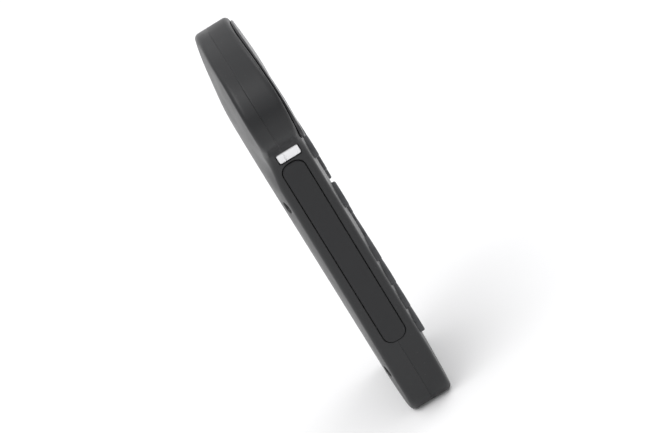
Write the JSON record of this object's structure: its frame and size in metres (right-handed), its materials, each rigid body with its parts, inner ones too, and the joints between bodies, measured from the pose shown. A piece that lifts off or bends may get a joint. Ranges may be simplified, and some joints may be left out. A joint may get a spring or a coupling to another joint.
{
  "type": "telescope hand controller",
  "caption": "Dark grey two-shell hand controller with a wide head holding a display, keys on a narrower grip, soft side grips and sockets in the bottom end.",
  "frame": {"origin": "centre of the flat back pad on the grip, 130 mm below the top of the head, on the pad's face", "axes": "+Z along the controller towards the display end, +Y out of the back, +X to the right seen from the front"},
  "size_m": [0.087, 0.0241, 0.189],
  "materials": {
    "front_case": "fine matt texture, dark grey",
    "back_case": "fine matt texture, dark grey",
    "fascia": "gloss black",
    "window": "clear, lightly smoked",
    "lcd_metal": "black, satin",
    "lcd_glass": "grey-green display glass",
    "diffuser": "milky",
    "board": "solder mask",
    "chip": "moulded",
    "socket_plastic": "moulded, satin",
    "connector": "natural",
    "steel": "nickel plated",
    "case_screw": "black oxide",
    "silicone": "matt",
    "key": "matt, soft",
    "side_grip": "matt, soft",
    "accent": "satin",
    "ribbon": "polyimide film",
    "plate": "satin, blank"
  },
  "bodies": {
    "case": {"front_shell": "front_case", "back_shell": "back_case", "fascia": "fascia", "display_window": "window", "lcd_frame": "lcd_metal", "lcd_glass": "lcd_glass", "lcd_backlight": "diffuser", "lcd_board": "board", "main_board": "board", "keypad_mat": "silicone", "cable_socket": "socket_plastic", "data_socket": "steel", "processor": "chip", "memory_chip": "chip", "crystal": "steel", "buzzer": "chip", "ribbon_header": "connector", "display_ribbon": "ribbon", "side_grip_left": "side_grip", "side_grip_right": "side_grip", "accent_strip_left": "accent", "accent_strip_right": "accent", "rating_plate": "plate", "case_screw_1": "case_screw", "case_screw_2": "case_screw", "case_screw_3": "case_screw", "case_screw_4": "case_screw", "board_screw_1": "steel", "board_screw_2": "steel", "board_screw_3": "steel", "board_screw_4": "steel", "display_screw_1": "steel", "display_screw_2": "steel", "display_screw_3": "steel", "display_screw_4": "steel"},
    "key_escape": {"key_escape": "key"},
    "key_setup": {"key_setup": "key"},
    "key_enter": {"key_enter": "key"},
    "key_up": {"key_up": "key"},
    "key_left": {"key_left": "key"},
    "key_right": {"key_right": "key"},
    "key_down": {"key_down": "key"},
    "key_1": {"key_1": "key"},
    "key_2": {"key_2": "key"},
    "key_3": {"key_3": "key"},
    "key_4": {"key_4": "key"},
    "key_5": {"key_5": "key"},
    "key_6": {"key_6": "key"},
    "key_7": {"key_7": "key"},
    "key_8": {"key_8": "key"},
    "key_9": {"key_9": "key"},
    "key_scroll_up": {"key_scroll_up": "key"},
    "key_0": {"key_0": "key"},
    "key_scroll_down": {"key_scroll_down": "key"}
  },
  "joints": [
    {"name": "press_escape", "type": "slide", "parent": "case", "child": "key_escape", "axis": [0, 1, 0], "range_m": [0, 0.001], "stiffness_N_per_m": 1200},
    {"name": "press_setup", "type": "slide", "parent": "case", "child": "key_setup", "axis": [0, 1, 0], "range_m": [0, 0.001], "stiffness_N_per_m": 1200},
    {"name": "press_enter", "type": "slide", "parent": "case", "child": "key_enter", "axis": [0, 1, 0], "range_m": [0, 0.001], "stiffness_N_per_m": 1200},
    {"name": "press_up", "type": "slide", "parent": "case", "child": "key_up", "axis": [0, 1, 0], "range_m": [0, 0.001], "stiffness_N_per_m": 1200},
    {"name": "press_left", "type": "slide", "parent": "case", "child": "key_left", "axis": [0, 1, 0], "range_m": [0, 0.001], "stiffness_N_per_m": 1200},
    {"name": "press_right", "type": "slide", "parent": "case", "child": "key_right", "axis": [0, 1, 0], "range_m": [0, 0.001], "stiffness_N_per_m": 1200},
    {"name": "press_down", "type": "slide", "parent": "case", "child": "key_down", "axis": [0, 1, 0], "range_m": [0, 0.001], "stiffness_N_per_m": 1200},
    {"name": "press_1", "type": "slide", "parent": "case", "child": "key_1", "axis": [0, 1, 0], "range_m": [0, 0.001], "stiffness_N_per_m": 1200},
    {"name": "press_2", "type": "slide", "parent": "case", "child": "key_2", "axis": [0, 1, 0], "range_m": [0, 0.001], "stiffness_N_per_m": 1200},
    {"name": "press_3", "type": "slide", "parent": "case", "child": "key_3", "axis": [0, 1, 0], "range_m": [0, 0.001], "stiffness_N_per_m": 1200},
    {"name": "press_4", "type": "slide", "parent": "case", "child": "key_4", "axis": [0, 1, 0], "range_m": [0, 0.001], "stiffness_N_per_m": 1200},
    {"name": "press_5", "type": "slide", "parent": "case", "child": "key_5", "axis": [0, 1, 0], "range_m": [0, 0.001], "stiffness_N_per_m": 1200},
    {"name": "press_6", "type": "slide", "parent": "case", "child": "key_6", "axis": [0, 1, 0], "range_m": [0, 0.001], "stiffness_N_per_m": 1200},
    {"name": "press_7", "type": "slide", "parent": "case", "child": "key_7", "axis": [0, 1, 0], "range_m": [0, 0.001], "stiffness_N_per_m": 1200},
    {"name": "press_8", "type": "slide", "parent": "case", "child": "key_8", "axis": [0, 1, 0], "range_m": [0, 0.001], "stiffness_N_per_m": 1200},
    {"name": "press_9", "type": "slide", "parent": "case", "child": "key_9", "axis": [0, 1, 0], "range_m": [0, 0.001], "stiffness_N_per_m": 1200},
    {"name": "press_scroll_up", "type": "slide", "parent": "case", "child": "key_scroll_up", "axis": [0, 1, 0], "range_m": [0, 0.001], "stiffness_N_per_m": 1200},
    {"name": "press_0", "type": "slide", "parent": "case", "child": "key_0", "axis": [0, 1, 0], "range_m": [0, 0.001], "stiffness_N_per_m": 1200},
    {"name": "press_scroll_down", "type": "slide", "parent": "case", "child": "key_scroll_down", "axis": [0, 1, 0], "range_m": [0, 0.001], "stiffness_N_per_m": 1200}
  ]
}
